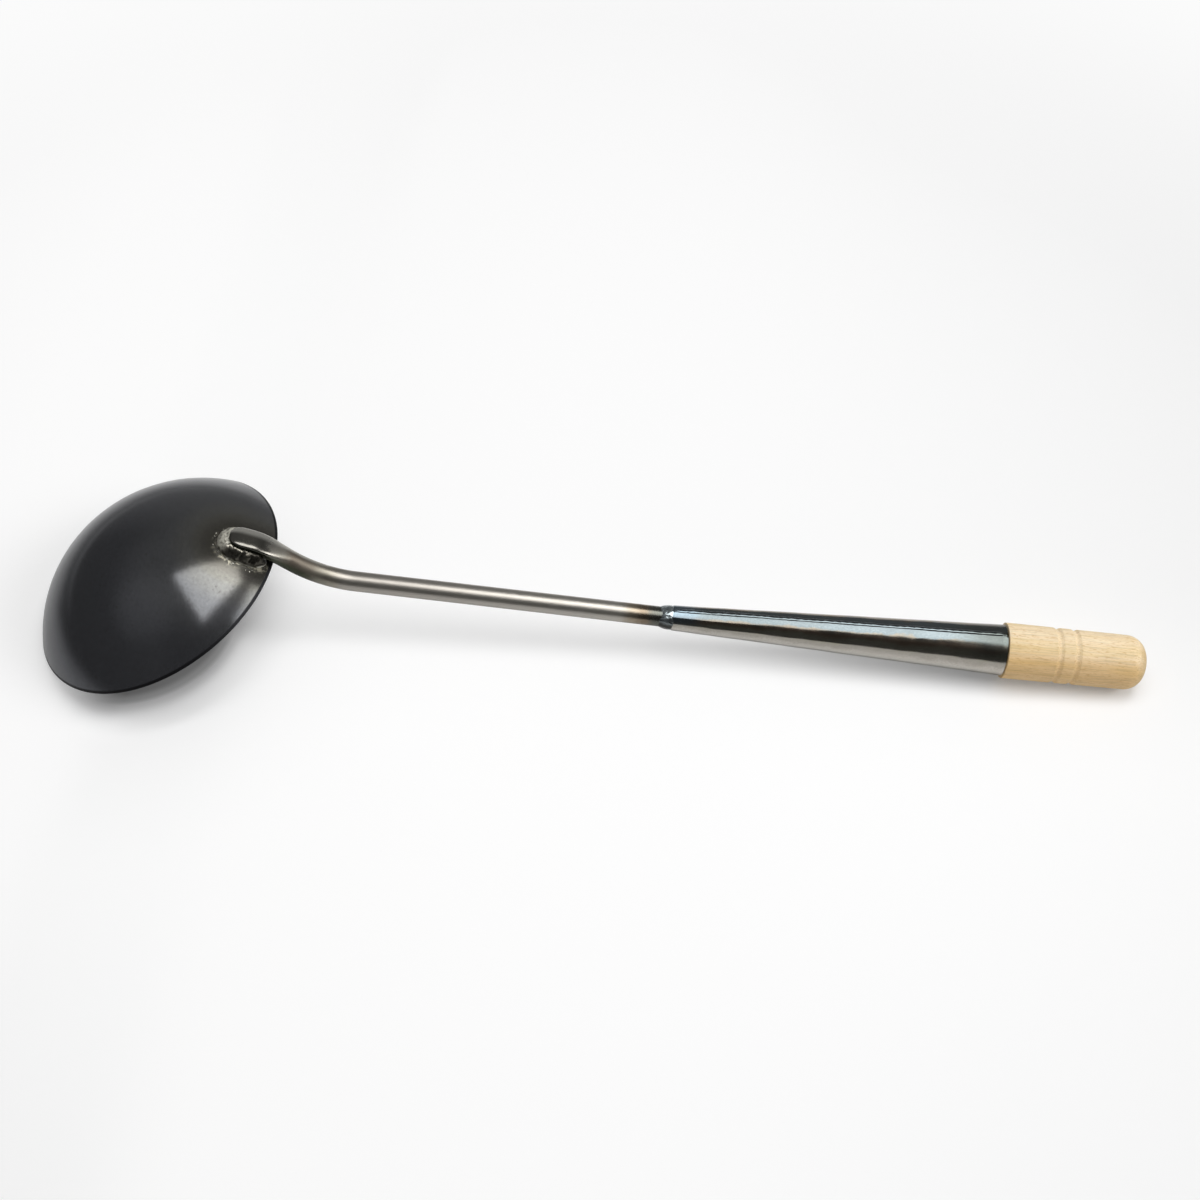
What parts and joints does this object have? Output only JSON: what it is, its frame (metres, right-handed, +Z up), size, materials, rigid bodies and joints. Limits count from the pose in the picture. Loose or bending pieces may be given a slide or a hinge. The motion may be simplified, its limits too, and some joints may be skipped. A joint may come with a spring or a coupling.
{
  "type": "wok ladle",
  "caption": "Wok ladle: dark pressed steel bowl welded to a bent round bar, with a rolled steel cone socket and a short turned wooden grip.",
  "frame": {"origin": "bottom centre of the ladle's box as it lies face down on a table", "axes": "+X along the handle from bowl to grip, +Z up from the table; y = 0 is the plane of symmetry"},
  "size_m": [0.4437, 0.1078, 0.0537],
  "materials": {
    "bowl_steel": "blackened carbon steel, satin",
    "rod_steel": "bare drawn bar with heat tint near the welds",
    "bowl_weld_steel": "as-welded, rippled",
    "cone_steel": "blued sheet, glossy, slightly wavy from rolling",
    "seam_weld_steel": "weld dressed nearly flush",
    "neck_weld_steel": "as-welded, lumpy",
    "grip_wood": "pale beech, turned and sanded, unvarnished"
  },
  "bodies": {
    "root": {"ladle_bowl": "bowl_steel", "shank_rod": "rod_steel", "bowl_weld": "bowl_weld_steel", "socket_cone": "cone_steel", "seam_weld": "seam_weld_steel", "neck_weld": "neck_weld_steel", "wood_grip": "grip_wood"}
  },
  "joints": []
}
